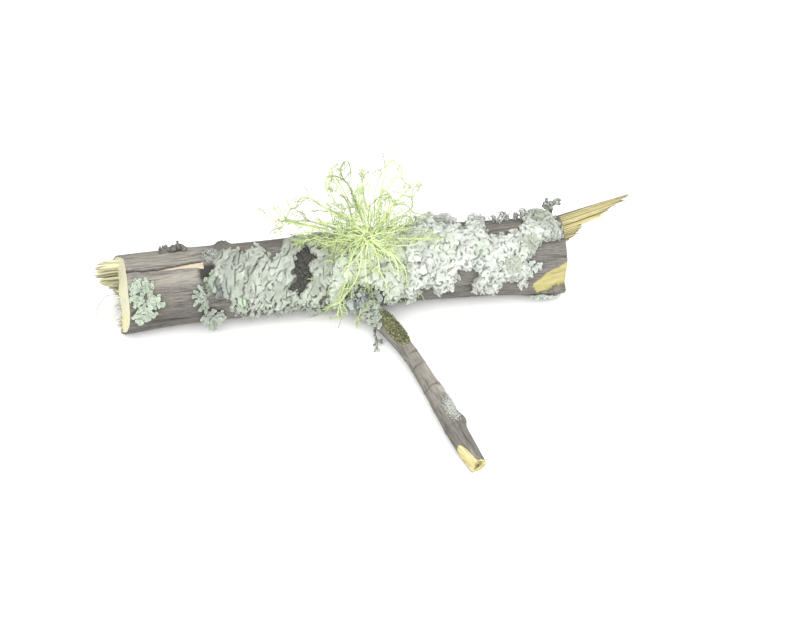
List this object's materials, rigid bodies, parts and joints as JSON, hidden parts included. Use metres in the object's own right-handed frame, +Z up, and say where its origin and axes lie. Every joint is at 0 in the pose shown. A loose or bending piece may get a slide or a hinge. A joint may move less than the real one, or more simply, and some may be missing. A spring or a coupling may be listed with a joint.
{
  "type": "lichen-covered stick",
  "caption": "Snapped stick with a side twig, lying on its underside, overgrown by leafy, crusty and beard lichens and a pad of moss.",
  "frame": {"origin": "on the surface the stick lies on, under the stick at the fork with its side twig", "axes": "+X along the stick from its sawn end to its splintered end, -Y towards the tip of the side twig, +Z up"},
  "size_m": [0.1892, 0.1188, 0.0576],
  "materials": {
    "bark": "rough, mauve-grey bark with bare yellow wood at its breaks",
    "leafy_lichen": "matt, dry, ruffled and leathery",
    "beard_lichen": "matt threads",
    "crust_lichen": "matt, powdery",
    "black_crust": "matt, crumbly",
    "moss": "soft and matt"
  },
  "bodies": {
    "root": {"branch": "bark", "side_twig": "bark", "left_leafy_lichen": "leafy_lichen", "middle_leafy_lichen": "leafy_lichen", "right_leafy_lichen": "leafy_lichen", "fork_leafy_lichen": "leafy_lichen", "end_leafy_lichen": "leafy_lichen", "small_leafy_lichen": "leafy_lichen", "hanging_leafy_lichen": "leafy_lichen", "twig_leafy_lichen": "leafy_lichen", "right_sprig": "leafy_lichen", "twig_sprig": "leafy_lichen", "dry_flake": "leafy_lichen", "white_crust": "crust_lichen", "black_crust": "black_crust", "moss": "moss", "beard_lichen": "beard_lichen"}
  },
  "joints": []
}
